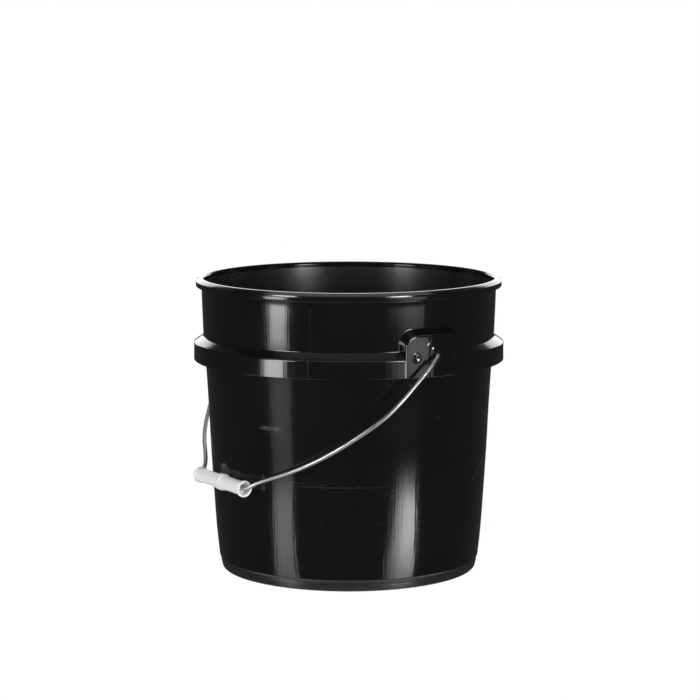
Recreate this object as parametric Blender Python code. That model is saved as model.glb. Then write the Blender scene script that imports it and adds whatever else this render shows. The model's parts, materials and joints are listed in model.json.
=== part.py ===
"""Round plastic florist bucket with a swinging wire bail and a free-turning tube grip.

Frame: +Z up, origin at the centre of the foot, the bail's hinge axis along X, and the bail
hanging on the -Y side with its grip against the wall. Every length is in metres.

The bucket wall, rim, skirt ring, ears and ribs are one injection moulding, so they are one
solid. The bail is one bent wire, and the grip is a hollow tube threaded on it.
"""

import math

import bmesh
import bpy
from mathutils import Matrix, Vector

# Bucket
HEIGHT = 0.2344
RIM_RADIUS = 0.1225
RIM_INNER_EDGE = 0.1172
RIM_FLAT_EDGE = 0.1189
RIM_FACE_TOP = 0.2315
RIM_FACE_BOTTOM = 0.2278
RIM_ROOT = 0.2264
WALL_THICKNESS = 0.0018
# Outer radius of the wall at each height where its slope changes, from the rim down.
WALL_OUTLINE = (
    (RIM_ROOT, 0.1181),
    (0.2056, 0.1174),
    (0.1880, 0.1167),
    (0.1616, 0.1147),
    (0.1330, 0.1130),
    (0.1003, 0.1114),
    (0.0590, 0.1089),
    (0.0258, 0.1065),
    (0.0092, 0.1047),
)
FOOT_STEP = 0.0067
FOOT_RADIUS = 0.1040
FOOT_CHAMFER = 0.0008
FOOT_RING_INNER = 0.0998
FLOOR_UNDERSIDE = 0.0040
FLOOR_TOP = 0.0060
CIRCLE_SEGMENTS = 72

# Hollow skirt ring round the wall
RING_RADIUS = 0.1244
RING_TOP = 0.1827
RING_BOTTOM = 0.1689
RING_ROOT = 0.1880
RING_THICKNESS = 0.0016
GUSSET_ANGLES = (17, 45, 73, 107, 135, 163)
GUSSET_THICKNESS = 0.0016
GUSSET_BOTTOM = 0.1710

# Ears, one at each end of the hinge axis
AXIS_HEIGHT = 0.1862
EAR_RADIUS = 0.1257
EAR_THICKNESS = 0.0018
EAR_HALF_WIDTH = 0.0252
EAR_TOP = 0.2011
EAR_CORNER = 0.0090
EAR_ROOT_HALF_WIDTH = 0.0263
EAR_ROOT_TOP = 0.2052
EAR_BOTTOM = 0.1686
HOLE_RADIUS = 0.0027
PANEL_HALF_WIDTH = 0.0089
PANEL_TOP = 0.1988
PANEL_CORNER = 0.0070
PANEL_RADIUS = EAR_RADIUS + 0.0005
RIB_HALF_WIDTH = 0.0036
RIB_TOP = 0.1928
RIB_CORNER = 0.0030
RIB_RADIUS = EAR_RADIUS + 0.0010

# Bail wire, in the bail's own plane: x along the hinge axis, drop away from it
REST_TILT = math.radians(47.5)
WIRE_RADIUS = 0.0016
HOOK_X = 0.1204
HOOK_REACH = 0.0080
HOOK_BEND = 0.0025
EAR_BEND_START = 0.1272
EAR_BEND = 0.0028
GRIP_DROP = 0.1589
RIGHT_ARM = (
    (0.1322, 0.0120),
    (0.1328, 0.0250),
    (0.1332, 0.0380),
    (0.1329, 0.0500),
    (0.1309, 0.0630),
    (0.1262, 0.0735),
    (0.1174, 0.0877),
    (0.1080, 0.1015),
    (0.0969, 0.1140),
    (0.0844, 0.1254),
    (0.0701, 0.1356),
    (0.0538, 0.1443),
    (0.0441, 0.1511),
    (0.0398, 0.1558),
    (0.0360, 0.1582),
    (0.0312, GRIP_DROP),
)
LEFT_ARM = (
    (0.1322, 0.0120),
    (0.1328, 0.0250),
    (0.1330, 0.0380),
    (0.1310, 0.0510),
    (0.1262, 0.0640),
    (0.1185, 0.0770),
    (0.1085, 0.0905),
    (0.0944, 0.1068),
    (0.0830, 0.1181),
    (0.0698, 0.1288),
    (0.0538, 0.1388),
    (0.0465, 0.1439),
    (0.0410, 0.1492),
    (0.0378, 0.1545),
    (0.0350, 0.1580),
    (0.0312, GRIP_DROP),
)

# Grip, a tube with end flanges and a collar at its middle
GRIP_HALF_LENGTH = 0.0356
GRIP_RADIUS = 0.0054
FLANGE_RADIUS = 0.0065
FLANGE_LENGTH = 0.0018
COLLAR_RADIUS = 0.0065
COLLAR_HALF_LENGTH = 0.0040
SHOULDER_LENGTH = 0.0016
MOUTH_RADIUS = 0.0044
MOUTH_DEPTH = 0.0070
BORE_RADIUS = 0.0026
GRIP_SEGMENTS = 24

SMOOTH_ANGLE = math.radians(30)


def clear_scene():
    for obj in list(bpy.data.objects):
        bpy.data.objects.remove(obj, do_unlink=True)


def material(name, color, roughness, metallic=0.0):
    mat = bpy.data.materials.new(name)
    mat.use_nodes = True
    shader = mat.node_tree.nodes["Principled BSDF"]
    shader.inputs["Base Color"].default_value = (*color, 1.0)
    shader.inputs["Roughness"].default_value = roughness
    shader.inputs["Metallic"].default_value = metallic
    return mat


def add_object(name, data, parent=None):
    obj = bpy.data.objects.new(name, data)
    bpy.context.scene.collection.objects.link(obj)
    obj.parent = parent
    return obj


def mesh_object(name, bm, parent=None):
    """Turn a finished bmesh into an object whose faces point out."""
    bmesh.ops.recalc_face_normals(bm, faces=bm.faces)
    mesh = bpy.data.meshes.new(name)
    bm.to_mesh(mesh)
    bm.free()
    return add_object(name, mesh, parent)


def smooth_shading(obj):
    obj.data.shade_smooth()
    obj.data.set_sharp_from_angle(angle=SMOOTH_ANGLE)


def lathe(name, outline, segments, parent=None):
    """Turn a closed outline of (radius, height) points about Z. Radius 0 is a pole."""
    bm = bmesh.new()
    rings = []
    for radius, height in outline:
        count = segments if radius > 0 else 1
        angles = [2 * math.pi * i / segments for i in range(count)]
        rings.append(
            [bm.verts.new((radius * math.cos(a), radius * math.sin(a), height)) for a in angles]
        )
    for ring, following in zip(rings, rings[1:] + rings[:1]):
        if len(ring) == 1 and len(following) == 1:
            continue
        for i in range(segments):
            j = (i + 1) % segments
            corners = [ring[i % len(ring)], ring[j % len(ring)]]
            corners += [following[j % len(following)], following[i % len(following)]]
            bm.faces.new(list(dict.fromkeys(corners)))
    return mesh_object(name, bm, parent)


def loft(bm, sections):
    """Skin a row of four-cornered sections into one closed solid."""
    rings = [[bm.verts.new(point) for point in section] for section in sections]
    for ring, following in zip(rings, rings[1:]):
        for i in range(4):
            j = (i + 1) % 4
            bm.faces.new((ring[i], ring[j], following[j], following[i]))
    bm.faces.new(rings[0])
    bm.faces.new(rings[-1])


def boolean(target, cutter, operation):
    """Join or cut target with cutter, which is then only a guide."""
    modifier = target.modifiers.new(f"{operation.lower()}_{cutter.name}", "BOOLEAN")
    modifier.operation = operation
    modifier.solver = "EXACT"
    modifier.object = cutter
    cutter.hide_render = True
    cutter.display_type = "WIRE"


def wall_radius(height):
    """Outer radius of the wall, straight between the heights of WALL_OUTLINE."""
    for (high, outer_high), (low, outer_low) in zip(WALL_OUTLINE, WALL_OUTLINE[1:]):
        if low <= height <= high:
            share = (height - low) / (high - low)
            return outer_low + share * (outer_high - outer_low)
    return WALL_OUTLINE[-1][1]


def bucket_outline():
    """Section of the turned bucket: rim, outer wall with the skirt ring, foot, floor, inner wall."""
    above = [(radius, height) for height, radius in WALL_OUTLINE if height > RING_ROOT]
    below = [(radius, height) for height, radius in WALL_OUTLINE if height < RING_BOTTOM]
    roof_height = RING_ROOT - 0.0034
    rim = [(RIM_FLAT_EDGE, HEIGHT), (RIM_RADIUS, RIM_FACE_TOP), (RIM_RADIUS, RIM_FACE_BOTTOM)]
    ring = [
        (wall_radius(RING_ROOT), RING_ROOT),
        (RING_RADIUS, RING_TOP),
        (RING_RADIUS, RING_BOTTOM),
        (RING_RADIUS - RING_THICKNESS, RING_BOTTOM),
        (RING_RADIUS - RING_THICKNESS, RING_TOP - 0.0023),
        (wall_radius(roof_height), roof_height),
    ]
    foot = [
        (FOOT_RADIUS, FOOT_STEP),
        (FOOT_RADIUS - 0.0002, FOOT_CHAMFER),
        (FOOT_RADIUS - 0.0009, 0.0),
        (FOOT_RING_INNER, 0.0),
        (FOOT_RING_INNER - 0.0010, FLOOR_UNDERSIDE),
        (0.0, FLOOR_UNDERSIDE),
        (0.0, FLOOR_TOP),
        (FOOT_RADIUS - 0.0056, FLOOR_TOP),
        (FOOT_RADIUS - 0.0023, FLOOR_TOP + 0.0014),
    ]
    inner_heights = [(height, radius) for height, radius in reversed(WALL_OUTLINE)]
    inner = [(radius - WALL_THICKNESS, height) for height, radius in inner_heights]
    inner += [(RIM_INNER_EDGE - 0.0007, HEIGHT - 0.0018), (RIM_INNER_EDGE, HEIGHT)]
    return rim + above + ring + below + foot + inner


def arch(half_width, top, corner):
    """Points (y, z) from left to right along a flat top with two round corners."""
    reach = half_width - corner
    turns = [math.radians(t) for t in (0, 22.5, 45, 67.5, 90)]
    left = [(-reach - corner * math.cos(t), top - corner + corner * math.sin(t)) for t in turns]
    flat = [(reach * share, top) for share in (-0.6, -0.2, 0.2, 0.6)]
    right = [(-y, z) for y, z in reversed(left)]
    return left + flat + right


def on_radius(radius, y, z, side):
    """Point at this radius and y, on the +X or -X side."""
    return (side * math.sqrt(radius * radius - y * y), y, z)


def arched_block(name, face, face_radius, root, root_radius, bottom, side):
    """Solid between a curved face outline and a root outline, both arches over one bottom."""
    sections = []
    for (face_y, face_z), (root_y, root_z) in zip(face, root):
        sections.append(
            (
                on_radius(face_radius, face_y, bottom, side),
                on_radius(face_radius, face_y, face_z, side),
                on_radius(root_radius(root_z), root_y, root_z, side),
                on_radius(root_radius(bottom), root_y, bottom, side),
            )
        )
    bm = bmesh.new()
    loft(bm, sections)
    return mesh_object(name, bm)


def ear_shell(side, label):
    face = arch(EAR_HALF_WIDTH, EAR_TOP, EAR_CORNER)
    root = arch(EAR_ROOT_HALF_WIDTH, EAR_ROOT_TOP, EAR_CORNER)

    def inside_wall(height):
        return wall_radius(height) - WALL_THICKNESS / 2

    return arched_block(f"guide_ear_{label}", face, EAR_RADIUS, root, inside_wall, EAR_BOTTOM, side)


def ear_pocket(side, label):
    """Space behind the ear's plate, open below, where the hook of the bail turns."""
    inset = EAR_THICKNESS
    corner = EAR_CORNER - inset
    face = arch(EAR_HALF_WIDTH - inset, EAR_TOP - inset, corner)
    root = arch(EAR_ROOT_HALF_WIDTH - inset, EAR_ROOT_TOP - inset, corner)

    def outside_wall(height):
        return wall_radius(max(height, RING_BOTTOM)) + 0.0003

    radius = EAR_RADIUS - inset
    name = f"guide_pocket_{label}"
    return arched_block(name, face, radius, root, outside_wall, RING_BOTTOM - 0.0040, side)


def raised_pad(name, outline, radius, bottom, side):
    """Low pad standing on the ear's face."""

    def sunk(_height):
        return EAR_RADIUS - 0.0006

    return arched_block(name, outline, radius, outline, sunk, bottom, side)


def hinge_hole(side, label):
    bm = bmesh.new()
    turn = Matrix.Rotation(math.pi / 2, 4, "Y")
    place = Matrix.Translation((side * EAR_RADIUS, 0.0, AXIS_HEIGHT))
    bmesh.ops.create_cone(
        bm,
        cap_ends=True,
        segments=20,
        radius1=HOLE_RADIUS,
        radius2=HOLE_RADIUS,
        depth=0.0060,
        matrix=place @ turn,
    )
    return mesh_object(f"guide_hole_{label}", bm)


def skirt_gussets():
    """Small upright plates under the ring that tie its skirt to the wall."""
    bm = bmesh.new()
    skirt = RING_RADIUS - RING_THICKNESS / 2
    low_wall = wall_radius(GUSSET_BOTTOM) - 0.0006
    high = RING_ROOT - 0.0022
    high_wall = wall_radius(high) - 0.0006
    corners = (
        (low_wall, GUSSET_BOTTOM),
        (skirt, GUSSET_BOTTOM),
        (skirt, RING_TOP - 0.0012),
        (high_wall, high),
    )
    half = GUSSET_THICKNESS / 2
    for degrees in GUSSET_ANGLES + tuple(-angle for angle in GUSSET_ANGLES):
        turn = Matrix.Rotation(math.radians(degrees), 3, "Z")
        sections = [[turn @ Vector((r, y, z)) for r, z in corners] for y in (-half, half)]
        loft(bm, sections)
    return mesh_object("guide_gussets", bm)


def make_bucket():
    body = lathe("pail_body", bucket_outline(), CIRCLE_SEGMENTS)
    body.data.materials.append(material("black_polyethylene", (0.012, 0.012, 0.013), 0.28))
    boolean(body, skirt_gussets(), "UNION")
    panel = arch(PANEL_HALF_WIDTH, PANEL_TOP, PANEL_CORNER)
    rib = arch(RIB_HALF_WIDTH, RIB_TOP, RIB_CORNER)
    for side, label in ((1, "right"), (-1, "left")):
        boolean(body, ear_shell(side, label), "UNION")
        name = f"guide_panel_{label}"
        boolean(body, raised_pad(name, panel, PANEL_RADIUS, EAR_BOTTOM + 0.0003, side), "UNION")
        name = f"guide_rib_{label}"
        boolean(body, raised_pad(name, rib, RIB_RADIUS, EAR_BOTTOM + 0.0006, side), "UNION")
        boolean(body, ear_pocket(side, label), "DIFFERENCE")
        boolean(body, hinge_hole(side, label), "DIFFERENCE")
    smooth_shading(body)
    return body


def bend(centre, radius, start, stop, steps=4):
    """Points of a round bend, in degrees from +x towards +drop."""
    angles = [math.radians(start + (stop - start) * i / steps) for i in range(steps + 1)]
    return [
        (centre[0] + radius * math.cos(a), centre[1] + radius * math.sin(a)) for a in angles
    ]


def catmull_rom(points, steps):
    """Smooth curve through every point, with this many steps between two of them."""
    ends = [2 * points[0] - points[1], 2 * points[-1] - points[-2]]
    row = ends[:1] + points + ends[1:]
    curve = []
    for p0, p1, p2, p3 in zip(row, row[1:], row[2:], row[3:]):
        for i in range(steps):
            t = i / steps
            curve.append(
                0.5
                * (
                    2 * p1
                    + (p2 - p0) * t
                    + (2 * p0 - 5 * p1 + 4 * p2 - p3) * t * t
                    + (3 * p1 - p0 - 3 * p2 + p3) * t * t * t
                )
            )
    return curve + [points[-1]]


def half_wire(arm_points):
    """Wire from one hook's end inside the ear's pocket to the middle of the grip."""
    hook = [(HOOK_X, -HOOK_REACH)]
    hook += bend((HOOK_X + HOOK_BEND, -HOOK_BEND), HOOK_BEND, 180, 90)
    outer = bend((EAR_BEND_START, EAR_BEND), EAR_BEND, -90, 0)
    arm = [Vector(outer[-1])] + [Vector(point) for point in arm_points]
    path = [Vector(point) for point in hook + outer[:-1]] + catmull_rom(arm, 2)
    return path + [Vector((0.0, GRIP_DROP))]


def make_wire(hinge):
    right = half_wire(RIGHT_ARM)
    left = [Vector((-point.x, point.y)) for point in reversed(half_wire(LEFT_ARM)[:-1])]
    route = right + left
    curve = bpy.data.curves.new("bail_wire", "CURVE")
    curve.dimensions = "3D"
    curve.bevel_depth = WIRE_RADIUS
    curve.bevel_resolution = 2
    curve.use_fill_caps = True
    spline = curve.splines.new("POLY")
    spline.points.add(len(route) - 1)
    for point, place in zip(spline.points, route):
        point.co = (place.x, 0.0, -place.y, 1.0)
    curve.materials.append(material("zinc_plated_steel", (0.62, 0.63, 0.65), 0.28, 1.0))
    return add_object("bail_wire", curve, hinge)


def make_grip(hinge):
    """Hollow tube, turned about its own length, which lies along the hinge axis."""
    shoulder = COLLAR_HALF_LENGTH + SHOULDER_LENGTH
    flange = GRIP_HALF_LENGTH - FLANGE_LENGTH
    mouth = GRIP_HALF_LENGTH - MOUTH_DEPTH
    upper = [
        (COLLAR_RADIUS, COLLAR_HALF_LENGTH),
        (GRIP_RADIUS, shoulder),
        (GRIP_RADIUS, flange - 0.0008),
        (FLANGE_RADIUS, flange),
        (FLANGE_RADIUS, GRIP_HALF_LENGTH - 0.0004),
        (FLANGE_RADIUS - 0.0004, GRIP_HALF_LENGTH),
        (MOUTH_RADIUS, GRIP_HALF_LENGTH),
        (MOUTH_RADIUS, mouth),
        (BORE_RADIUS, mouth - 0.0010),
    ]
    lower = [(radius, -height) for radius, height in reversed(upper)]
    grip = lathe("grip", upper + lower, GRIP_SEGMENTS, hinge)
    grip.location = (0.0, 0.0, -GRIP_DROP)
    grip.rotation_euler = (0.0, math.pi / 2, 0.0)
    grip.data.materials.append(material("white_polyethylene", (0.86, 0.87, 0.87), 0.42))
    smooth_shading(grip)
    return grip


def main():
    clear_scene()
    make_bucket()
    hinge = add_object("bail_hinge", None)
    hinge.location = (0.0, 0.0, AXIS_HEIGHT)
    hinge.rotation_euler = (-REST_TILT, 0.0, 0.0)
    make_wire(hinge)
    make_grip(hinge)


main()
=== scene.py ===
"""Looks of the florist bucket: fine bucket, bail and grip meshes, their materials, and a studio.

Metres, +Z up. The bail's hinge axis lies along X and the bail rests on the -Y side.
"""

import json
import math

import bmesh
import bpy
import numpy as np
from mathutils import Matrix, Vector


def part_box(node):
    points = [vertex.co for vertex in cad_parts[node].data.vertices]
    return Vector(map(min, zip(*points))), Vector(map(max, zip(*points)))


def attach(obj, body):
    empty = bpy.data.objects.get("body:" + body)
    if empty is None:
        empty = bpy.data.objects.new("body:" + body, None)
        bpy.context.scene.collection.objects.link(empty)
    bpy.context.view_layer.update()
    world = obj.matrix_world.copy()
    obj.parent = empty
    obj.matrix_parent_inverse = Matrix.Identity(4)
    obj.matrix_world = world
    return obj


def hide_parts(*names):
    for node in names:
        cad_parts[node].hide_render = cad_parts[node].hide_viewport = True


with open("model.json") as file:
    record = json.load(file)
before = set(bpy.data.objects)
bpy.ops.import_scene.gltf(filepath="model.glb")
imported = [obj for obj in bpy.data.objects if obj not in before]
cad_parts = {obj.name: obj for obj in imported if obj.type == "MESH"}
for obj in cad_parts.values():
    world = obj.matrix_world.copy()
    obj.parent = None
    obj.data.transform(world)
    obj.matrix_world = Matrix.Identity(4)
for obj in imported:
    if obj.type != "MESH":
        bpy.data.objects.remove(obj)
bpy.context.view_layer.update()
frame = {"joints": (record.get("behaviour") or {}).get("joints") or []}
joints = {joint["name"]: joint for joint in frame["joints"]}
bucket_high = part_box("pail_body")[1]

# Bucket, from the frame
HEIGHT = bucket_high.z
RING_RADIUS = bucket_high.y
AXIS_HEIGHT = joints["bail_swing"]["pos_m"][2]
GRIP_CENTRE = Vector(joints["grip_spin"]["pos_m"])

# Wall: outer radius at each height, from the foot up
WALL_THICKNESS = 0.0018
WALL_HEIGHTS = (0.0092, 0.0258, 0.0590, 0.1003, 0.1330, 0.1616, 0.1880, 0.2056, 0.2264)
WALL_RADII = (0.1047, 0.1065, 0.1089, 0.1114, 0.1130, 0.1147, 0.1167, 0.1174, 0.1181)

# Floor: its top inside, and the middle of the gate mark below
FLOOR_TOP = 0.0060
GATE_HEIGHT = 0.0036

# Rim
RIM_ROOT = 0.2264
RIM_RADIUS = 0.1225
RIM_INNER_EDGE = 0.1172
RIM_FLAT_EDGE = 0.1189
RIM_FACE_TOP = 0.2320
RIM_FACE_BOTTOM = 0.2276

# Skirt ring
RING_TOP = 0.1827
RING_BOTTOM = 0.1689
RING_ROOT = 0.1880
RING_ROOT_RADIUS = 0.1167
RING_DRAFT = 0.010
SKIRT_INNER_RADIUS = RING_RADIUS - 0.0016
LOWER_EDGE = 0.0003
SKIRT_ROOF_EDGE = RING_TOP - 0.0023
SKIRT_ROOF_ROOT = RING_ROOT - 0.0034
GUSSET_ANGLES = (17, 45, 73, 107, 135, 163)
GUSSET_THICKNESS = 0.0016
GUSSET_BOTTOM = 0.1710

# Ears
EAR_RADIUS = 0.1257
EAR_HALF_WIDTH = 0.0255
EAR_TOP = 0.2011
EAR_CORNER = 0.0090
EAR_SIDE_RUN = 0.0031
EAR_TOP_RUN = 0.0041
EAR_PLATE = 0.0018
PANEL_HALF_WIDTH = 0.0082
PANEL_TOP = 0.1978
PANEL_RISE = 0.00028
RIB_HALF_WIDTH = 0.0036
RIB_TOP = 0.1925
RIB_RISE = 0.00032
HOLE_RADIUS = 0.0027
HOLE_CHAMFER = 0.0016
HOLE_SIDES = 48
PLATE_MIDDLE = 0.1253
DIMPLE_OFFSET = 0.0169
DIMPLE_HEIGHT = 0.1845
DIMPLE_RADIUS = 0.0026
DIMPLE_DEPTH = 0.00030
DIMPLE_LIP = 0.00010
PARTING_ANGLES = (46.3, 133.7, 226.3, 313.7)
SEAM_RISE = 0.00005

# Bail
REST_TILT = math.radians(47.5)
WIRE_RADIUS = 0.0016
WIRE_CHAMFER = 0.0004
WIRE_SIDES = 20
HOOK_X = 0.1204
HOOK_REACH = 0.0080
HOOK_BEND = 0.0025
EAR_BEND_START = 0.1272
EAR_BEND = 0.0028
GRIP_DROP = 0.1589
RIGHT_ARM = (
    (0.1322, 0.0120),
    (0.1328, 0.0250),
    (0.1332, 0.0380),
    (0.1329, 0.0500),
    (0.1309, 0.0630),
    (0.1262, 0.0735),
    (0.1174, 0.0877),
    (0.1080, 0.1015),
    (0.0969, 0.1140),
    (0.0844, 0.1254),
    (0.0701, 0.1356),
    (0.0538, 0.1443),
    (0.0441, 0.1511),
    (0.0398, 0.1558),
    (0.0360, 0.1582),
    (0.0312, GRIP_DROP),
)
LEFT_ARM = (
    (0.1322, 0.0120),
    (0.1328, 0.0250),
    (0.1330, 0.0380),
    (0.1310, 0.0510),
    (0.1262, 0.0640),
    (0.1185, 0.0770),
    (0.1085, 0.0905),
    (0.0944, 0.1068),
    (0.0830, 0.1181),
    (0.0698, 0.1288),
    (0.0538, 0.1388),
    (0.0465, 0.1439),
    (0.0410, 0.1492),
    (0.0378, 0.1545),
    (0.0350, 0.1580),
    (0.0312, GRIP_DROP),
)

# Grip
GRIP_HALF_LENGTH = 0.0356
GRIP_RADIUS = 0.0054
FLANGE_RADIUS = 0.0065
FLANGE_LENGTH = 0.0018
COLLAR_RADIUS = 0.0065
COLLAR_HALF_LENGTH = 0.0030
SHOULDER_LENGTH = 0.0010
MOUTH_RADIUS = 0.0044
MOUTH_DEPTH = 0.0070
BORE_RADIUS = 0.0026

# Wear on the wall, by angle from +X towards +Y in degrees, and by height
PATCH_ANGLE = -64.5
PATCH_HEIGHT = 0.1268
RUB_ANGLES = (-46.0, -60.0)
RUB_HEIGHTS = (0.0832, 0.0858)
SCRATCH_ANGLE = 36.5
SCRATCH_LEAN = 0.00124
SCRATCH_START = 0.0405
WEAR_TOP = 0.165

# Colours
BLACK = (0.0045, 0.0045, 0.0050, 1)
BLACK_HAZED = (0.0065, 0.0065, 0.0070, 1)
# Painted light: a lighter black for the inside faces, standing in for light falling inside the
# bucket
INSIDE_PAINTED_LIGHT = (0.0350, 0.0350, 0.0350, 1)
SCRATCHED = (0.05, 0.05, 0.05, 1)
WORN = (0.10, 0.10, 0.10, 1)
STEEL_DULL = (0.42, 0.43, 0.44, 1)
STEEL_BRIGHT = (0.52, 0.53, 0.54, 1)
WHITE = (0.96, 0.96, 0.96, 1)
WHITE_MARKED = (0.90, 0.90, 0.90, 1)
DIM_ROOM = (0.048, 0.048, 0.051, 1)

# Camera
CAMERA_AZIMUTH = math.radians(58.0)
CAMERA_DISTANCE = 1.9576
CAMERA_HEIGHT = 0.4470
CAMERA_PITCH = math.radians(7.919)
CAMERA_LENS = 126.2
CAMERA_SHIFT = 0.0018

# Softboxes, from the bottom up: (elevation, left azimuth, right azimuth, strength), in degrees
# to the right of the camera
SOFTBOX_LEFT = (
    (-40, -70, -46, 1.6),
    (-27, -70, -46, 1.8),
    (-22, -68, -47, 2.6),
    (-18.6, -67, -47, 3.0),
    (-16, -66, -46, 0.4),
    (-12, -66, -46, 0.9),
    (-9.5, -66, -47, 2.0),
    (-7.5, -64, -48, 6.8),
    (-6.2, -64, -48, 7.8),
    (-5.5, -65, -46, 10.5),
    (-3, -65, -46, 10.5),
    (0, -66, -45, 1.0),
    (2, -60, -36, 1.0),
    (4, -58, -39, 24.0),
    (14, -58, -39, 24.0),
    (16, -58, -39, 0.0),
)
SOFTBOX_RIGHT = (
    (-40, 30, 58, 2.6),
    (-27, 30, 58, 3.8),
    (-24, 31, 58, 6.3),
    (-21, 34, 57, 8.5),
    (-18.6, 37, 57, 11.0),
    (-17.6, 40, 56, 3.0),
    (-16.5, 42, 54, 0.5),
    (-15.8, 44, 54, 0.0),
    (-10, 40, 56, 0.0),
    (-7, 34, 57, 0.6),
    (-5, 26, 57, 2.2),
    (0, 26, 57, 0.5),
    (2, 26, 44, 0.5),
    (4, 26, 44, 34.0),
    (14, 26, 44, 34.0),
    (16, 26, 44, 0.0),
)

SMOOTH_ANGLE = math.radians(35)


# ---------------------------------------------------------------- shapes


def smooth_min(a, b, width):
    """The smaller of two surfaces, with a round fillet where they cross."""
    share = np.clip(0.5 + 0.5 * (b - a) / width, 0.0, 1.0)
    return b * (1.0 - share) + a * share - width * share * (1.0 - share)


def smooth_max(a, b, width):
    return -smooth_min(-a, -b, width)


def smooth_step(low, high, value):
    share = np.clip((value - low) / (high - low), 0.0, 1.0)
    return share * share * (3.0 - 2.0 * share)


def wall_radius(height):
    """Outer radius of the wall, a smooth curve through the wall's outline."""
    heights, radii = np.array(WALL_HEIGHTS), np.array(WALL_RADII)
    slopes = np.gradient(radii, heights)
    height = np.clip(np.asarray(height, float), heights[0], heights[-1])
    i = np.clip(np.searchsorted(heights, height) - 1, 0, len(heights) - 2)
    step = heights[i + 1] - heights[i]
    t = (height - heights[i]) / step
    start = (1 + 2 * t) * (1 - t) ** 2 * radii[i] + t * (1 - t) ** 2 * step * slopes[i]
    end = t * t * (3 - 2 * t) * radii[i + 1] + t * t * (t - 1) * step * slopes[i + 1]
    return start + end


def filleted(corners, steps=4):
    """A line through (radius, height, fillet) corners, each rounded by its fillet."""
    points = [Vector(corners[0][:2])]
    for before, corner, after in zip(corners, corners[1:], corners[2:]):
        here, fillet = Vector(corner[:2]), corner[2]
        back = (Vector(before[:2]) - here).normalized()
        ahead = (Vector(after[:2]) - here).normalized()
        if fillet <= 0:
            points.append(here)
            continue
        half = back.angle(ahead) / 2
        reach = fillet / math.tan(half)
        centre = here + (back + ahead).normalized() * fillet / math.sin(half)
        start = (here + back * reach - centre).normalized()
        stop = (here + ahead * reach - centre).normalized()
        for i in range(steps + 1):
            points.append(centre + start.slerp(stop, i / steps).normalized() * fillet)
    points.append(Vector(corners[-1][:2]))
    return points


def rounded_box_distance(across, up, half_width, top, corner):
    """Distance outside a flat-topped outline with round corners and no lower edge."""
    side = np.abs(across) - (half_width - corner)
    rise = up - (top - corner)
    outside = np.hypot(np.maximum(side, 0.0), np.maximum(rise, 0.0))
    return outside + np.minimum(np.maximum(side, rise), 0.0) - corner


def ring_radius(height):
    """Skirt ring: a sloping shoulder and an upright face."""
    slope = (RING_RADIUS - RING_ROOT_RADIUS) / (RING_ROOT - RING_TOP)
    shoulder = RING_ROOT_RADIUS + (RING_ROOT - height) * slope
    face = RING_RADIUS - RING_DRAFT * (height - RING_BOTTOM)
    return smooth_min(shoulder, face, 0.0007)


def ear_radius(across, height):
    """Ear: an upright face with a raised panel and rib, and sides that slope to the wall."""
    distance = rounded_box_distance(across, height, EAR_HALF_WIDTH, EAR_TOP, EAR_CORNER)
    side = np.maximum(np.abs(across) - (EAR_HALF_WIDTH - EAR_CORNER), 1e-9)
    rise = np.maximum(height - (EAR_TOP - EAR_CORNER), 0.0)
    upward = rise / np.hypot(side, rise)
    run = EAR_SIDE_RUN + (EAR_TOP_RUN - EAR_SIDE_RUN) * upward
    drop = (EAR_RADIUS - wall_radius(height)) * distance / run
    body = smooth_min(EAR_RADIUS - drop, EAR_RADIUS + 0.0 * drop, 0.0016)
    panel_distance = rounded_box_distance(across, height, PANEL_HALF_WIDTH, PANEL_TOP, 0.0070)
    rib_distance = rounded_box_distance(across, height, RIB_HALF_WIDTH, RIB_TOP, 0.0030)
    body = body + PANEL_RISE * (1.0 - smooth_step(-0.0012, 0.0010, panel_distance))
    body = body + RIB_RISE * (1.0 - smooth_step(-0.0006, 0.0006, rib_distance))
    for centre in (-DIMPLE_OFFSET, DIMPLE_OFFSET):
        away = np.hypot(across - centre, height - DIMPLE_HEIGHT) / DIMPLE_RADIUS
        body = body - DIMPLE_DEPTH * (1.0 - smooth_step(0.40, 1.0, away))
        body = body + DIMPLE_LIP * np.exp(-(((away - 1.2) / 0.25) ** 2))
    return body


def outer_radius(offset, height):
    """Wall, ring and ear as one moulded surface. offset is in radians from the nearest ear."""
    across = EAR_RADIUS * offset
    surface = smooth_max(wall_radius(height), ring_radius(height), 0.0009)
    return smooth_max(surface, ear_radius(across, height), 0.0008)


def bucket_columns():
    """Angles round the bucket in degrees, closer together across each ear and parting line."""
    spans = ((0, 5.6, 0.2), (5.6, 6.2, 0.3), (6.2, 9.4, 0.2), (9.4, 10.4, 0.3), (10.4, 14.6, 0.17))
    half = np.concatenate([np.arange(*span) for span in spans] + [np.arange(14.6, 18, 0.6)])
    ear = np.concatenate([-half[:0:-1], half])
    between = np.arange(18.6, 161.4, 1.2)
    parting = np.array((-0.34, -0.20, -0.13, -0.07, 0.07, 0.13, 0.20, 0.34))
    angles = [ear, ear + 180, between, between + 180]
    angles += [centre + parting for centre in PARTING_ANGLES]
    angles = np.sort(np.concatenate(angles) % 360)
    apart = np.diff(angles, append=angles[0] + 360) > 0.05
    return angles[apart]


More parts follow.
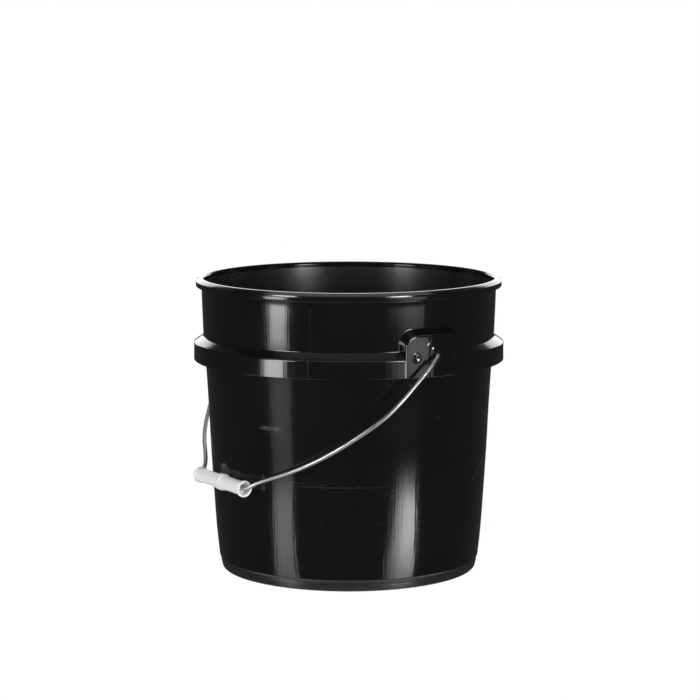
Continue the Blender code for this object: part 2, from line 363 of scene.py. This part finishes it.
def bucket_rows(angles):
    """Rows of (radius, height) from the middle of the floor, over the rim, to the middle below."""
    offset = np.radians((angles + 90) % 180 - 90)
    one = np.ones(len(angles))
    rows = []

    def turned(points):
        rows.extend((radius * one, height * one) for radius, height in points)

    # Inside: floor with a round moulding mark, then the wall
    mark = FLOOR_TOP + 0.0003
    turned([(0.0030, FLOOR_TOP), (0.0034, mark), (0.0046, mark)])
    turned([(radius, FLOOR_TOP) for radius in (0.0050, 0.0300, 0.0600, 0.0900)])
    corner = [(0.0950, FLOOR_TOP, 0), (0.1012, FLOOR_TOP, 0.0034), (0.1030, 0.0160, 0)]
    turned(filleted(corner, 5)[1:-1])
    for height in np.linspace(0.0150, 0.2240, 20):
        turned([(wall_radius(height) - WALL_THICKNESS, height)])

    # Rim
    root = float(wall_radius(RIM_ROOT))
    inner = root - WALL_THICKNESS
    rim = [
        (inner, 0.2240, 0),
        (inner + 0.0001, 0.2325, 0.0010),
        (RIM_INNER_EDGE, HEIGHT, 0.0007),
        (RIM_FLAT_EDGE, HEIGHT - 0.0002, 0.0004),
        (RIM_RADIUS - 0.00005, RIM_FACE_TOP, 0.0003),
        (RIM_RADIUS, RIM_FACE_BOTTOM + 0.0002, 0.0006),
        (root + 0.0001, RIM_FACE_BOTTOM - 0.0004, 0.0006),
        (float(wall_radius(0.2200)), 0.2200, 0),
    ]
    turned(filleted(rim)[1:-1])

    # Upper wall
    parting = np.min(
        [np.abs((angles - centre + 180) % 360 - 180) for centre in PARTING_ANGLES], axis=0
    )
    seam = SEAM_RISE * (1.0 - smooth_step(0.06, 0.20, parting))
    for height in np.arange(0.2230, 0.2075, -0.0020):
        rows.append((wall_radius(height) + seam, height * one))

    # Wall, ring and ears
    spans = ((0.2070, 0.1895, 0.00045), (0.1895, 0.1815, 0.00032), (0.1815, 0.1694, 0.00060))
    for height in np.concatenate([np.arange(high, low, -step) for high, low, step in spans]):
        rows.append((outer_radius(offset, height) + seam, height * one))
    edge_height = RING_BOTTOM + LOWER_EDGE
    face = outer_radius(offset, edge_height) + seam

    # Under the ring: lower edge, skirt, roof of the hollow, and the wall behind it
    pocket_half = EAR_HALF_WIDTH - EAR_PLATE
    across = EAR_RADIUS * np.abs(offset)
    pocket_corner = EAR_CORNER - EAR_PLATE
    corner = np.clip(across - (pocket_half - EAR_CORNER + EAR_PLATE), 0.0, pocket_corner)
    arch = np.sqrt(pocket_corner**2 - corner**2) - pocket_corner
    clear = smooth_step(pocket_half - 0.0004, pocket_half + 0.0006, across)
    pocket_edge = (EAR_TOP - EAR_PLATE + arch) * (1 - clear) + SKIRT_ROOF_EDGE * clear
    pocket_root = (pocket_edge + EAR_TOP_RUN) * (1 - clear) + SKIRT_ROOF_ROOT * clear
    inside = (EAR_RADIUS - EAR_PLATE) * (1 - clear) + SKIRT_INNER_RADIUS * clear
    rows.append((face, edge_height * one))
    rows.append((face - LOWER_EDGE, RING_BOTTOM * one))
    rows.append((inside + LOWER_EDGE, RING_BOTTOM * one))
    rows.append((inside, edge_height * one))
    for share in (0.2, 0.4, 0.6, 0.8, 0.95, 1.0):
        rows.append((inside, RING_BOTTOM + share * (pocket_edge - RING_BOTTOM)))
    root = wall_radius(pocket_root)
    for share in (0.12, 0.5, 0.88):
        roof = pocket_edge + share * (pocket_root - pocket_edge)
        rows.append((inside + share * (root - inside), roof))
    for share in np.linspace(0.0, 1.0, 9):
        height = pocket_root + share * (RING_BOTTOM - 0.0020 - pocket_root)
        rows.append((wall_radius(height), height))

    # Lower wall
    for height in np.arange(0.1600, 0.0150, -0.0060):
        turned([(wall_radius(height), height)])

    # Foot and underside, with moulded rings and the gate's mark
    below = [
        (float(wall_radius(0.0160)), 0.0160, 0),
        (0.1047, 0.0092, 0.0014),
        (0.1034, 0.0076, 0.0004),
        (0.1036, 0.0052, 0.0008),
        (0.1026, 0.0008, 0.0010),
        (0.1018, 0.0000, 0.0004),
        (0.0998, 0.0000, 0.0006),
        (0.0988, 0.0040, 0.0008),
        (0.0640, 0.0040, 0.0006),
        (0.0634, 0.0032, 0.0004),
        (0.0610, 0.0032, 0.0004),
        (0.0604, 0.0040, 0.0006),
        (0.0120, 0.0040, 0.0010),
        (0.0110, 0.0046, 0.0010),
        (0.0035, 0.0046, 0.0004),
        (0.0030, 0.0036, 0.0004),
        (0.0010, 0.0036, 0),
    ]
    turned(filleted(below, 3)[1:-1])
    return rows


def grid_mesh(name, angles, rows, floor_height, under_height):
    """Closed mesh from rows of (radius, height) round the axis, with a pole at each end."""
    turn = np.radians(angles)
    rings = [
        np.stack((radius * np.cos(turn), radius * np.sin(turn), height), axis=1)
        for radius, height in rows
    ]
    count, wide = len(rings), len(angles)
    points = np.concatenate(rings + [[(0, 0, floor_height)], [(0, 0, under_height)]])
    row = np.arange(count - 1)[:, None] * wide
    column = np.arange(wide)[None, :]
    after = (column + 1) % wide
    quads = np.stack((row + column, row + wide + column, row + wide + after, row + after), axis=2)
    faces = quads.reshape(-1, 4)[:, ::-1].tolist()
    first, last = count * wide, count * wide + 1
    edge = (count - 1) * wide
    faces += [(first, i, (i + 1) % wide) for i in range(wide)]
    faces += [(last, edge + (i + 1) % wide, edge + i) for i in range(wide)]
    mesh = bpy.data.meshes.new(name)
    mesh.from_pydata(points.tolist(), [], faces)
    mesh.validate()
    return mesh


def add_object(name, data):
    obj = bpy.data.objects.new(name, data)
    bpy.context.scene.collection.objects.link(obj)
    return obj


def finish_mesh(obj):
    """Point the faces outwards and shade them smooth up to the sharp edges."""
    bm = bmesh.new()
    bm.from_mesh(obj.data)
    bmesh.ops.recalc_face_normals(bm, faces=bm.faces)
    bm.to_mesh(obj.data)
    bm.free()
    obj.data.shade_smooth()
    obj.data.set_sharp_from_angle(angle=SMOOTH_ANGLE)


def lathe(name, outline, segments):
    """Closed outline of (radius, height) points turned about Z."""
    bm = bmesh.new()
    rings = []
    for radius, height in outline:
        angles = [2 * math.pi * i / segments for i in range(segments)]
        rings.append(
            [bm.verts.new((radius * math.cos(a), radius * math.sin(a), height)) for a in angles]
        )
    for ring, following in zip(rings, rings[1:] + rings[:1]):
        for i in range(segments):
            j = (i + 1) % segments
            bm.faces.new((ring[i], ring[j], following[j], following[i]))
    mesh = bpy.data.meshes.new(name)
    bm.to_mesh(mesh)
    bm.free()
    return mesh


def apply_boolean(target, cutter, operation):
    """Cut or join a mesh for good, then drop the cutter."""
    modifier = target.modifiers.new(operation.lower(), "BOOLEAN")
    modifier.operation = operation
    modifier.solver = "EXACT"
    modifier.object = cutter
    depsgraph = bpy.context.evaluated_depsgraph_get()
    mesh = bpy.data.meshes.new_from_object(target.evaluated_get(depsgraph))
    target.modifiers.clear()
    target.data = mesh
    bpy.data.objects.remove(cutter, do_unlink=True)


def hole_cutters():
    """Chamfered drill along the hinge axis, one through each ear's plate."""
    drill = [
        (HOLE_RADIUS, -0.0060),
        (HOLE_RADIUS, EAR_RADIUS - PLATE_MIDDLE + 0.0002),
        (HOLE_RADIUS + HOLE_CHAMFER, EAR_RADIUS - PLATE_MIDDLE + 0.0018),
        (HOLE_RADIUS + HOLE_CHAMFER, 0.0060),
    ]
    bm = bmesh.new()
    for side in (1, -1):
        place = Matrix.Translation((side * PLATE_MIDDLE, 0, AXIS_HEIGHT))
        place = place @ Matrix.Rotation(side * math.pi / 2, 4, "Y")
        rings = []
        for radius, height in drill:
            angles = [2 * math.pi * i / HOLE_SIDES for i in range(HOLE_SIDES)]
            ring = [(radius * math.cos(a), radius * math.sin(a), height) for a in angles]
            rings.append([bm.verts.new(place @ Vector(point)) for point in ring])
        for ring, following in zip(rings, rings[1:]):
            for i in range(HOLE_SIDES):
                j = (i + 1) % HOLE_SIDES
                bm.faces.new((ring[i], ring[j], following[j], following[i]))
        bm.faces.new(rings[0])
        bm.faces.new(rings[-1])
    bmesh.ops.recalc_face_normals(bm, faces=bm.faces)
    mesh = bpy.data.meshes.new("hole_cutters")
    bm.to_mesh(mesh)
    bm.free()
    return add_object("hole_cutters", mesh)


def gussets():
    """Upright plates under the skirt, from the wall to the skirt's inside."""
    root_low = float(wall_radius(GUSSET_BOTTOM)) - WALL_THICKNESS / 2
    root_high = float(wall_radius(SKIRT_ROOF_ROOT)) - WALL_THICKNESS / 2
    edge = SKIRT_INNER_RADIUS + 0.0008
    outline = [
        (root_low, GUSSET_BOTTOM),
        (edge, GUSSET_BOTTOM),
        (edge, SKIRT_ROOF_EDGE + 0.0008),
        (root_high, SKIRT_ROOF_ROOT + 0.0012),
    ]
    bm = bmesh.new()
    for angle in GUSSET_ANGLES:
        for turned in (angle, -angle):
            turn = Matrix.Rotation(math.radians(turned), 4, "Z")
            sides = []
            for across in (-GUSSET_THICKNESS / 2, GUSSET_THICKNESS / 2):
                points = [Vector((radius, across, height)) for radius, height in outline]
                sides.append([bm.verts.new(turn @ point) for point in points])
            bm.faces.new(sides[0])
            bm.faces.new(sides[1])
            for i in range(4):
                j = (i + 1) % 4
                bm.faces.new((sides[0][i], sides[0][j], sides[1][j], sides[1][i]))
    bmesh.ops.recalc_face_normals(bm, faces=bm.faces)
    mesh = bpy.data.meshes.new("gussets")
    bm.to_mesh(mesh)
    bm.free()
    return add_object("gussets", mesh)


def make_bucket():
    angles = bucket_columns()
    mesh = grid_mesh("bucket", angles, bucket_rows(angles), FLOOR_TOP, GATE_HEIGHT)
    bucket = add_object("bucket", mesh)
    finish_mesh(bucket)
    apply_boolean(bucket, hole_cutters(), "DIFFERENCE")
    apply_boolean(bucket, gussets(), "UNION")
    bucket.data.shade_smooth()
    bucket.data.set_sharp_from_angle(angle=SMOOTH_ANGLE)
    bucket.data.materials.clear()
    bucket.data.materials.append(black_plastic())
    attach(bucket, "pail")
    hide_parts("pail_body")
    return bucket


def bend(centre, radius, start, stop, steps=8):
    """Points of a round bend, in degrees from +x towards +drop."""
    angles = [math.radians(start + (stop - start) * i / steps) for i in range(steps + 1)]
    return [
        Vector((centre[0] + radius * math.cos(a), centre[1] + radius * math.sin(a)))
        for a in angles
    ]


def catmull_rom(points, steps):
    """Smooth curve through every point, with this many steps between two of them."""
    ends = [2 * points[0] - points[1], 2 * points[-1] - points[-2]]
    row = ends[:1] + points + ends[1:]
    curve = []
    for p0, p1, p2, p3 in zip(row, row[1:], row[2:], row[3:]):
        for i in range(steps):
            t = i / steps
            line = 2 * p1 + (p2 - p0) * t
            line += (2 * p0 - 5 * p1 + 4 * p2 - p3) * t * t
            line += (3 * p1 - p0 - 3 * p2 + p3) * t * t * t
            curve.append(0.5 * line)
    return curve + [points[-1]]


def smoothed(points, start, stop, width):
    """Points evened out by a Gaussian along the line, between two lengths from its start."""
    line = np.array(points)
    steps = np.linalg.norm(np.diff(line, axis=0), axis=1)
    along = np.concatenate([[0.0], np.cumsum(steps)])
    share = np.gradient(along)
    weights = np.exp(-0.5 * ((along[:, None] - along[None, :]) / width) ** 2) * share
    even = weights @ line / weights.sum(axis=1)[:, None]
    blend = smooth_step(start, start + 2 * width, along)
    blend = blend * (1.0 - smooth_step(stop - 2 * width, stop, along))
    line = line + (even - line) * blend[:, None]
    return [Vector(point) for point in line]


def half_wire(arm_points):
    """Wire from one hook's end inside the ear's pocket to the middle of the grip."""
    hook = [Vector((HOOK_X, -HOOK_REACH))]
    hook += bend((HOOK_X + HOOK_BEND, -HOOK_BEND), HOOK_BEND, 180, 90)
    outer = bend((EAR_BEND_START, EAR_BEND), EAR_BEND, -90, 0)
    arm = outer[-1:] + [Vector(point) for point in arm_points]
    line = hook + outer[:-1] + catmull_rom(arm, 12)
    return smoothed(line, 0.030, 0.205, 0.009) + [Vector((0.0, GRIP_DROP))]


def make_bail():
    """Round wire swept along the bail's line, with chamfered sheared ends."""
    right = half_wire(RIGHT_ARM)
    left = [Vector((-point.x, point.y)) for point in reversed(half_wire(LEFT_ARM)[:-1])]
    route = right + left
    tilt = Matrix.Rotation(-REST_TILT, 3, "X")
    origin = Vector((0, 0, AXIS_HEIGHT))
    bm = bmesh.new()
    rings = []
    last = len(route) - 1
    for i, point in enumerate(route):
        ahead = route[min(i + 1, last)] - route[max(i - 1, 0)]
        ahead.normalize()
        across = Vector((-ahead.y, ahead.x))
        stations = [(0.0, WIRE_RADIUS)]
        if i == 0:
            stations = [(0.0, WIRE_RADIUS - WIRE_CHAMFER), (WIRE_CHAMFER, WIRE_RADIUS)]
        if i == last:
            stations = [(-WIRE_CHAMFER, WIRE_RADIUS), (0.0, WIRE_RADIUS - WIRE_CHAMFER)]
        for along, radius in stations:
            ring = []
            for k in range(WIRE_SIDES):
                angle = 2 * math.pi * k / WIRE_SIDES
                flat = point + ahead * along + across * radius * math.cos(angle)
                local = Vector((flat.x, radius * math.sin(angle), -flat.y))
                ring.append(bm.verts.new(origin + tilt @ local))
            rings.append(ring)
    for ring, following in zip(rings, rings[1:]):
        for k in range(WIRE_SIDES):
            j = (k + 1) % WIRE_SIDES
            bm.faces.new((ring[k], ring[j], following[j], following[k]))
    bm.faces.new(rings[0])
    bm.faces.new(rings[-1])
    mesh = bpy.data.meshes.new("bail")
    bm.to_mesh(mesh)
    bm.free()
    bail = add_object("bail", mesh)
    finish_mesh(bail)
    bail.data.materials.append(plated_steel())
    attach(bail, "bail")
    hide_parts("bail_wire")
    return bail


def make_grip():
    """Hollow tube with end flanges and a middle collar, threaded on the wire."""
    shoulder = COLLAR_HALF_LENGTH + SHOULDER_LENGTH
    flange = GRIP_HALF_LENGTH - FLANGE_LENGTH
    mouth = GRIP_HALF_LENGTH - MOUTH_DEPTH
    corners = [
        (COLLAR_RADIUS, 0.0, 0),
        (COLLAR_RADIUS, COLLAR_HALF_LENGTH, 0.0009),
        (GRIP_RADIUS, shoulder, 0.0009),
        (GRIP_RADIUS, flange - 0.0010, 0.0007),
        (FLANGE_RADIUS, flange, 0.0004),
        (FLANGE_RADIUS, GRIP_HALF_LENGTH, 0.0006),
        (MOUTH_RADIUS, GRIP_HALF_LENGTH, 0.0004),
        (MOUTH_RADIUS, mouth, 0.0005),
        (BORE_RADIUS, mouth - 0.0010, 0.0004),
        (BORE_RADIUS, 0.0, 0),
    ]
    upper = [(point.x, point.y) for point in filleted(corners)]
    lower = [(radius, -height) for radius, height in reversed(upper[1:-1])]
    grip = add_object("grip_tube", lathe("grip_tube", upper + lower, 64))
    finish_mesh(grip)
    place = Matrix.Translation(GRIP_CENTRE) @ Matrix.Rotation(math.pi / 2, 4, "Y")
    grip.data.transform(place)
    grip.data.materials.append(white_plastic())
    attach(grip, "grip")
    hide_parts("grip")
    return grip


# ---------------------------------------------------------------- materials


class Nodes:
    """Short names for building a material's nodes."""

    def __init__(self, name):
        self.material = bpy.data.materials.new(name)
        self.material.use_nodes = True
        self.tree = self.material.node_tree
        self.shader = self.tree.nodes["Principled BSDF"]

    def add(self, kind, **settings):
        node = self.tree.nodes.new(kind)
        for key, value in settings.items():
            setattr(node, key, value)
        return node

    def link(self, value, socket):
        if isinstance(value, bpy.types.NodeSocket):
            self.tree.links.new(value, socket)
        else:
            socket.default_value = value

    def math(self, operation, *values, clamp=False):
        node = self.add("ShaderNodeMath", operation=operation, use_clamp=clamp)
        for socket, value in zip(node.inputs, values):
            self.link(value, socket)
        return node.outputs[0]

    def noise(self, vector, scale, detail=3.0, roughness=0.5):
        node = self.add("ShaderNodeTexNoise")
        self.link(vector, node.inputs["Vector"])
        node.inputs["Scale"].default_value = scale
        node.inputs["Detail"].default_value = detail
        node.inputs["Roughness"].default_value = roughness
        return node.outputs["Fac"]

    def remap(self, value, low, high, to_low, to_high):
        node = self.add("ShaderNodeMapRange")
        for socket, number in zip(node.inputs, (value, low, high, to_low, to_high)):
            self.link(number, socket)
        return node.outputs["Result"]

    def scaled(self, vector, factors):
        node = self.add("ShaderNodeMapping")
        self.link(vector, node.inputs["Vector"])
        node.inputs["Scale"].default_value = factors
        return node.outputs["Vector"]

    def stripe(self, value, centre, half_width, soft):
        """1 where the value lies within half_width of the centre, fading to 0."""
        away = self.math("ABSOLUTE", self.math("SUBTRACT", value, centre))
        return self.remap(away, half_width, half_width + soft, 1.0, 0.0)

    def bump(self, height, distance, strength=1.0, normal=None):
        node = self.add("ShaderNodeBump")
        self.link(height, node.inputs["Height"])
        node.inputs["Distance"].default_value = distance
        node.inputs["Strength"].default_value = strength
        if normal is not None:
            self.link(normal, node.inputs["Normal"])
        return node.outputs["Normal"]

    def mix_color(self, share, first, second):
        node = self.add("ShaderNodeMix", data_type="RGBA")
        self.link(share, node.inputs["Factor"])
        self.link(first, node.inputs[6])
        self.link(second, node.inputs[7])
        return node.outputs[2]


def black_plastic():
    """Black moulded polyethylene: glossy, with upright flow lines, haze, wear and scratches, and
    painted light on the inside faces.
    """
    n = Nodes("black_polyethylene")
    place = n.add("ShaderNodeTexCoord").outputs["Object"]
    height = n.add("ShaderNodeSeparateXYZ")
    n.link(place, height.inputs[0])
    z = height.outputs["Z"]

    # Inside faces lie within the middle of the wall's thickness
    flat = n.add("ShaderNodeVectorMath", operation="MULTIPLY")
    n.link(place, flat.inputs[0])
    flat.inputs[1].default_value = (1, 1, 0)
    length = n.add("ShaderNodeVectorMath", operation="LENGTH")
    n.link(flat.outputs[0], length.inputs[0])
    radius = length.outputs["Value"]
    middle = n.remap(z, 0.0092, 0.2264, 0.1045, 0.1179)
    below_rim = n.math("LESS_THAN", z, 0.2300)
    inside = n.math("MULTIPLY", n.math("LESS_THAN", radius, middle), below_rim)

    upright = n.scaled(place, (1.0, 1.0, 0.02))
    flow = n.noise(upright, 260.0, 2.0)
    fine_flow = n.noise(upright, 560.0, 1.0)
    haze = n.noise(n.scaled(place, (1.0, 1.0, 0.6)), 22.0, 5.0, 0.6)
    speckle = n.noise(place, 1400.0, 2.0)

    scratch_field = n.noise(n.scaled(place, (1.0, 1.0, 0.35)), 60.0, 2.0)
    scratch_lines = n.noise(n.scaled(place, (0.5, 0.5, 6.0)), 260.0, 2.0)
    scratches = n.math(
        "MULTIPLY",
        n.remap(scratch_lines, 0.68, 0.74, 0.0, 1.0),
        n.remap(scratch_field, 0.56, 0.66, 0.0, 1.0),
    )

    # Wear: a rubbed patch, rub lines left by the swinging grip, and a slanting scratch
    flat_place = n.add("ShaderNodeSeparateXYZ")
    n.link(place, flat_place.inputs[0])
    angle = n.math("ARCTAN2", flat_place.outputs["Y"], flat_place.outputs["X"])
    degrees = n.math("MULTIPLY", angle, 180 / math.pi)
    broken = n.remap(n.noise(n.scaled(place, (1.0, 1.0, 3.0)), 420.0, 3.0), 0.40, 0.60, 0.2, 1.0)
    patch = n.math(
        "MULTIPLY",
        n.stripe(degrees, PATCH_ANGLE, 3.0, 3.0),
        n.stripe(z, PATCH_HEIGHT, 0.0007, 0.0012),
    )
    long_rub = n.math(
        "MULTIPLY",
        n.stripe(z, RUB_HEIGHTS[0], 0.0001, 0.0005),
        n.stripe(degrees, RUB_ANGLES[0], 22.0, 12.0),
    )
    short_rub = n.math(
        "MULTIPLY",
        n.stripe(z, RUB_HEIGHTS[1], 0.0001, 0.0004),
        n.stripe(degrees, RUB_ANGLES[1], 8.0, 8.0),
    )
    rub = n.math("ADD", long_rub, short_rub)
    lean = n.math("SUBTRACT", z, n.math("MULTIPLY", degrees, SCRATCH_LEAN))
    scratch = n.math(
        "MULTIPLY",
        n.stripe(lean, SCRATCH_START, 0.0002, 0.0006),
        n.stripe(degrees, SCRATCH_ANGLE, 5.5, 2.0),
    )
    wear = n.math("ADD", n.math("MULTIPLY", patch, 1.2), n.math("MULTIPLY", rub, 0.35))
    wear = n.math("ADD", wear, n.math("MULTIPLY", scratch, 0.8))
    below_ring = n.math("GREATER_THAN", WEAR_TOP, z)
    wear = n.math("MULTIPLY", n.math("MULTIPLY", wear, broken), below_ring, clamp=True)

    rough = n.remap(haze, 0.3, 0.7, 0.09, 0.13)
    rough = n.math("ADD", rough, n.math("MULTIPLY", scratches, 0.20))
    rough = n.math("MAXIMUM", rough, n.math("MULTIPLY", inside, 0.24))
    n.link(rough, n.shader.inputs["Roughness"])
    color = n.mix_color(n.remap(haze, 0.45, 0.75, 0.0, 1.0), BLACK, BLACK_HAZED)
    # Painted light: the inside faces are mixed halfway to a lighter black, standing in for light
    # inside the bucket
    color = n.mix_color(n.math("MULTIPLY", inside, 0.5), color, INSIDE_PAINTED_LIGHT)
    color = n.mix_color(n.math("MULTIPLY", scratches, 0.5), color, SCRATCHED)
    color = n.mix_color(n.math("MULTIPLY", wear, 0.8), color, WORN)
    n.link(color, n.shader.inputs["Base Color"])

    normal = n.bump(flow, 0.00005, 0.8)
    normal = n.bump(fine_flow, 0.00007, 0.8, normal)
    normal = n.bump(speckle, 0.000004, 0.5, normal)
    n.link(normal, n.shader.inputs["Normal"])
    n.shader.inputs["IOR"].default_value = 1.53
    return n.material


def plated_steel():
    """Bright zinc-plated wire with fine drawn lines and slightly dull patches."""
    n = Nodes("zinc_plated_steel")
    place = n.add("ShaderNodeTexCoord").outputs["Object"]
    patches = n.noise(place, 90.0, 4.0, 0.6)
    grain = n.noise(place, 1500.0, 2.0)
    n.link(n.remap(patches, 0.3, 0.7, 0.30, 0.42), n.shader.inputs["Roughness"])
    color = n.mix_color(patches, STEEL_DULL, STEEL_BRIGHT)
    n.link(color, n.shader.inputs["Base Color"])
    n.shader.inputs["Metallic"].default_value = 1.0
    n.link(n.bump(grain, 0.00001, 0.5), n.shader.inputs["Normal"])
    return n.material


def white_plastic():
    """Natural white polyethylene, slightly translucent, with soft handling marks."""
    n = Nodes("white_polyethylene")
    place = n.add("ShaderNodeTexCoord").outputs["Object"]
    marks = n.noise(place, 120.0, 4.0, 0.6)
    n.link(n.remap(marks, 0.3, 0.7, 0.34, 0.50), n.shader.inputs["Roughness"])
    color = n.mix_color(n.remap(marks, 0.5, 0.8, 0.0, 1.0), WHITE, WHITE_MARKED)
    n.link(color, n.shader.inputs["Base Color"])
    n.shader.inputs["Subsurface Weight"].default_value = 0.25
    n.shader.inputs["Subsurface Radius"].default_value = (0.003, 0.003, 0.003)
    n.shader.inputs["Subsurface Scale"].default_value = 1.0
    n.link(n.bump(n.noise(place, 900.0, 2.0), 0.00001, 0.5), n.shader.inputs["Normal"])
    return n.material


# ---------------------------------------------------------------- studio


def emission_material(name, strength):
    """Even white glow, or a glow read from the mesh's own attribute."""
    material = bpy.data.materials.new(name)
    material.use_nodes = True
    tree = material.node_tree
    tree.nodes.clear()
    glow = tree.nodes.new("ShaderNodeEmission")
    output = tree.nodes.new("ShaderNodeOutputMaterial")
    tree.links.new(glow.outputs[0], output.inputs["Surface"])
    if isinstance(strength, str):
        attribute = tree.nodes.new("ShaderNodeAttribute")
        attribute.attribute_name = strength
        tree.links.new(attribute.outputs["Fac"], glow.inputs["Strength"])
    else:
        glow.inputs["Strength"].default_value = strength
    return material


def toward(azimuth, elevation):
    """Direction from the bucket, azimuth in degrees to the right of the camera."""
    turn, rise = math.radians(azimuth), math.radians(elevation)
    front = Vector((math.sin(CAMERA_AZIMUTH), -math.cos(CAMERA_AZIMUTH), 0))
    right = Vector((math.cos(CAMERA_AZIMUTH), math.sin(CAMERA_AZIMUTH), 0))
    flat = front * math.cos(turn) + right * math.sin(turn)
    return flat * math.cos(rise) + Vector((0, 0, math.sin(rise)))


def card(name, stations, fade=0.0, distance=1.6, columns=12, rows_between=6):
    """Curved glowing card round the bucket, seen in reflections but not by the camera.

    Stations run upwards: (elevation, left azimuth, right azimuth, strength). The glow fades to
    nothing over this share of the width on the left.
    """
    centre = Vector((0, 0, HEIGHT / 2))
    stations = np.array(stations, float)
    marks = np.arange(len(stations))
    steps = np.linspace(0, len(stations) - 1, (len(stations) - 1) * rows_between + 1)
    levels = np.stack([np.interp(steps, marks, stations[:, k]) for k in range(4)], axis=1)
    points, glows, faces = [], [], []
    for elevation, left, right, strength in levels:
        for azimuth in np.linspace(left, right, columns + 1):
            points.append(centre + distance * toward(azimuth, elevation))
            share = (azimuth - left) / (right - left)
            glows.append(strength * min(1.0, (share + 0.02) / (fade + 0.02)))
    wide = columns + 1
    for i in range(len(levels) - 1):
        for j in range(columns):
            first = i * wide + j
            faces.append((first, first + 1, first + wide + 1, first + wide))
    mesh = bpy.data.meshes.new(name)
    mesh.from_pydata(points, [], faces)
    attribute = mesh.attributes.new("glow", "FLOAT", "POINT")
    attribute.data.foreach_set("value", glows)
    mesh.materials.append(emission_material(name, "glow"))
    obj = add_object(name, mesh)
    obj.visible_camera = False
    obj.visible_shadow = False
    return obj


def make_studio():
    scene = bpy.context.scene
    scene.view_settings.view_transform = "Standard"
    world = bpy.data.worlds.new("studio")
    world.use_nodes = True
    world.node_tree.nodes["Background"].inputs["Color"].default_value = DIM_ROOM
    scene.world = world

    card("softbox_left", SOFTBOX_LEFT, fade=0.30)
    card("softbox_right", SOFTBOX_RIGHT, fade=0.55)
    card("overhead", ((58, -180, 180, 0.9), (89, -180, 180, 0.9)), columns=24)
    card("floor_bounce", ((-80, -180, 180, 0.8), (-46, -180, 180, 0.8)), columns=24)
    card("backdrop_low", ((-10, 170, 190, 2.0), (4, 170, 190, 2.0)))
    card("backdrop_high", ((5, 150, 210, 2.5), (46, 150, 210, 2.5)))

    # Floor and backdrop, pure white to the camera only
    bpy.ops.mesh.primitive_uv_sphere_add(segments=48, ring_count=24, radius=9.0)
    backdrop = bpy.context.object
    backdrop.name = "backdrop"
    bpy.ops.mesh.primitive_circle_add(vertices=96, radius=6.0, fill_type="NGON")
    floor = bpy.context.object
    floor.name = "floor"
    floor.location.z = -0.0002
    for obj in (backdrop, floor):
        obj.data.materials.append(emission_material(obj.name + "_white", 1.0))
        obj.visible_diffuse = False
        obj.visible_glossy = False
        obj.visible_transmission = False
        obj.visible_shadow = False


def make_camera():
    data = bpy.data.cameras.new("camera")
    data.lens = CAMERA_LENS
    data.sensor_width = 36.0
    data.shift_x = CAMERA_SHIFT
    camera = add_object("camera", data)
    x = math.sin(CAMERA_AZIMUTH) * CAMERA_DISTANCE
    y = -math.cos(CAMERA_AZIMUTH) * CAMERA_DISTANCE
    camera.location = (x, y, CAMERA_HEIGHT)
    camera.rotation_euler = (math.pi / 2 - CAMERA_PITCH, 0, CAMERA_AZIMUTH)
    bpy.context.scene.camera = camera


make_camera()
make_bucket()
make_bail()
make_grip()
make_studio()
